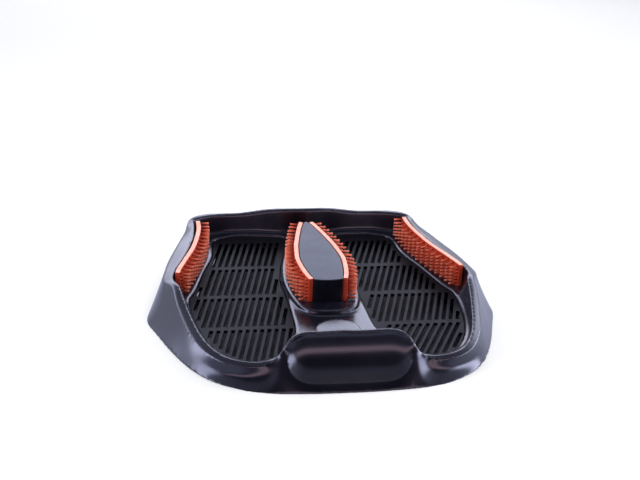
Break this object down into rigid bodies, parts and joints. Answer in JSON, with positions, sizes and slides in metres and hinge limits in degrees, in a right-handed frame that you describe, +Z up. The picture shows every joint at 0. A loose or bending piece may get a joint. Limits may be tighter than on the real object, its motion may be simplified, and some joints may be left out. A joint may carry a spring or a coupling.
{
  "type": "boot scraper mat",
  "caption": "Black moulded boot cleaning tray with two slotted wells and orange side brushes that scrub a pair of boots.",
  "frame": {"origin": "on the ground, in the middle of the tray's ground outline", "axes": "+Z up, the boots' toes point along -Y and their heels along +Y, +X to the right of someone who faces the toes' side of the mat as the picture does"},
  "size_m": [0.4598, 0.4571, 0.064],
  "materials": {
    "tray_plastic": "semi-gloss black moulded plastic",
    "grate_plastic": "satin black moulded plastic",
    "island_plastic": "blue-grey sheen over black plastic",
    "brush_strip": "orange-red plastic backing strip",
    "bristles": "orange-red stiff bristles",
    "screw_steel": "zinc plated"
  },
  "bodies": {
    "root": {"tray": "tray_plastic", "island_block": "island_plastic", "island_screws": "screw_steel"},
    "left_grate": {"left_grate": "grate_plastic"},
    "side_left_brush": {"side_left_strip": "brush_strip", "side_left_bristles": "bristles"},
    "island_left_brush": {"island_left_strip": "brush_strip", "island_left_bristles": "bristles"},
    "right_grate": {"right_grate": "grate_plastic"},
    "side_right_brush": {"side_right_strip": "brush_strip", "side_right_bristles": "bristles"},
    "island_right_brush": {"island_right_strip": "brush_strip", "island_right_bristles": "bristles"}
  },
  "joints": [
    {"name": "left_grate_lift", "type": "slide", "parent": "root", "child": "left_grate", "axis": [0, 0, 1], "range_m": [0, 0.045]},
    {"name": "side_left_brush_lift", "type": "slide", "parent": "root", "child": "side_left_brush", "axis": [0, 0, 1], "range_m": [0, 0.034]},
    {"name": "island_left_brush_lift", "type": "slide", "parent": "root", "child": "island_left_brush", "axis": [0, 0, 1], "range_m": [0, 0.034]},
    {"name": "right_grate_lift", "type": "slide", "parent": "root", "child": "right_grate", "axis": [0, 0, 1], "range_m": [0, 0.045]},
    {"name": "side_right_brush_lift", "type": "slide", "parent": "root", "child": "side_right_brush", "axis": [0, 0, 1], "range_m": [0, 0.034]},
    {"name": "island_right_brush_lift", "type": "slide", "parent": "root", "child": "island_right_brush", "axis": [0, 0, 1], "range_m": [0, 0.034]}
  ]
}
